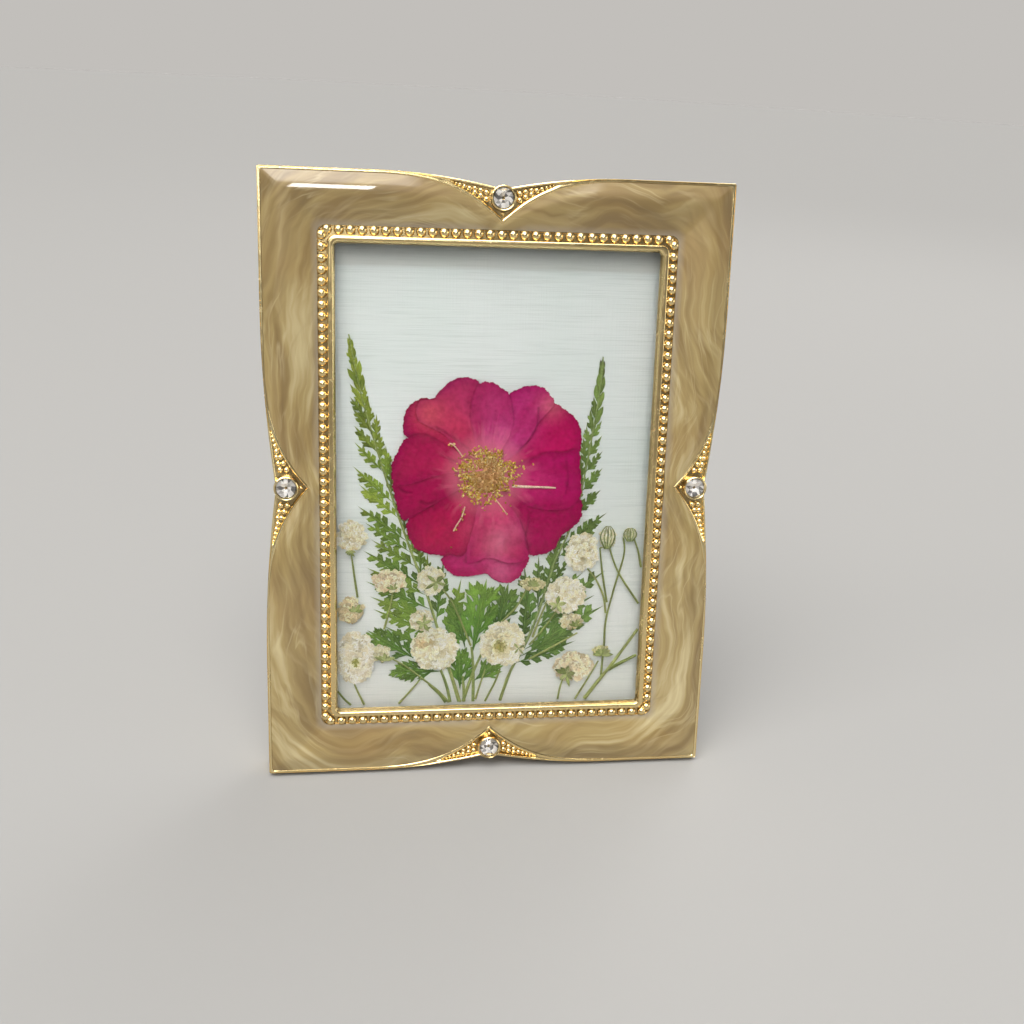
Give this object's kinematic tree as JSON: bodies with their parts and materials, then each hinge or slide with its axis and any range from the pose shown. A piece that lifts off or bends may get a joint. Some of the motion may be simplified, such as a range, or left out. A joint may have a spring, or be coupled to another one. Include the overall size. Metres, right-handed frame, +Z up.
{
  "type": "pressed flower frame",
  "caption": "Small standing photo frame with an enamelled, gold-plated border and stone accents, holding a pressed rose, ferns and little white flowers on silk behind glass.",
  "frame": {"origin": "middle of the base on the floor, under the standing frame", "axes": "+Z up, front faces -Y, +X to the right as seen from the front"},
  "size_m": [0.115, 0.0536, 0.1509],
  "materials": {
    "gold_plate": "cast and gold-plated, polished",
    "pearl_enamel": "poured pearl enamel, glossy",
    "cut_glass": "cut and polished",
    "clear_glass": "clear",
    "silk_backing": "pale slubbed silk",
    "black_velvet": "flocked velvet on board",
    "zinc_plated_steel": "zinc-plated",
    "fern_green": "pressed and dried",
    "leaf_green": "pressed and dried",
    "rose_petal": "pressed and dried, papery",
    "rose_stamens": "pressed and dried",
    "dried_white_petals": "pressed and dried, papery",
    "dried_green_bud": "pressed and dried"
  },
  "bodies": {
    "frame": {"backboard": "black_velvet", "bracket_rivet_left": "zinc_plated_steel", "bracket_rivet_right": "zinc_plated_steel", "crystal_bottom": "cut_glass", "crystal_left": "cut_glass", "crystal_right": "cut_glass", "crystal_top": "cut_glass", "enamel_inlay": "pearl_enamel", "fern_left": "fern_green", "fern_right": "fern_green", "frame_casting": "gold_plate", "glass_pane": "clear_glass", "green_bud_round": "dried_green_bud", "green_bud_small": "dried_green_bud", "green_bud_star": "dried_green_bud", "green_stem_right": "dried_green_bud", "hinge_bracket": "zinc_plated_steel", "hinge_pin": "zinc_plated_steel", "leaf_centre_dark": "leaf_green", "leaf_centre_narrow": "leaf_green", "leaf_centre_tall": "leaf_green", "leaf_left_long": "leaf_green", "leaf_left_low": "leaf_green", "leaf_low_middle": "leaf_green", "leaf_low_right": "leaf_green", "rose_petal_back_bottom": "rose_petal", "rose_petal_back_left": "rose_petal", "rose_petal_back_right": "rose_petal", "rose_petal_bottom": "rose_petal", "rose_petal_high_left": "rose_petal", "rose_petal_left": "rose_petal", "rose_petal_low_left": "rose_petal", "rose_petal_low_right": "rose_petal", "rose_petal_right": "rose_petal", "rose_petal_top": "rose_petal", "rose_petal_top_left": "rose_petal", "rose_petal_top_right": "rose_petal", "rose_stamens": "rose_stamens", "silk_card": "silk_backing", "white_bud_left": "dried_white_petals", "white_bud_under_rose": "dried_white_petals", "white_flower_centre": "dried_white_petals", "white_flower_half_open": "dried_white_petals", "white_flower_large": "dried_white_petals", "white_flower_left_cup": "dried_white_petals", "white_flower_left_edge": "dried_white_petals", "white_flower_left_loose": "dried_white_petals", "white_flower_left_low": "dried_white_petals", "white_flower_low_right": "dried_white_petals", "white_flower_right_middle": "dried_white_petals", "white_flower_right_top": "dried_white_petals", "white_flower_right_tucked": "dried_white_petals", "white_flower_tucked": "dried_white_petals"},
    "easel": {"leg_knuckle": "zinc_plated_steel", "easel_leg": "black_velvet", "leg_rivet_left": "zinc_plated_steel", "leg_rivet_right": "zinc_plated_steel"}
  },
  "joints": [
    {"name": "leg_hinge", "type": "hinge", "parent": "frame", "child": "easel", "pos_m": [0, 0.0012, 0.09784], "axis": [1, 0, 0], "range_deg": [-24, 0]}
  ]
}
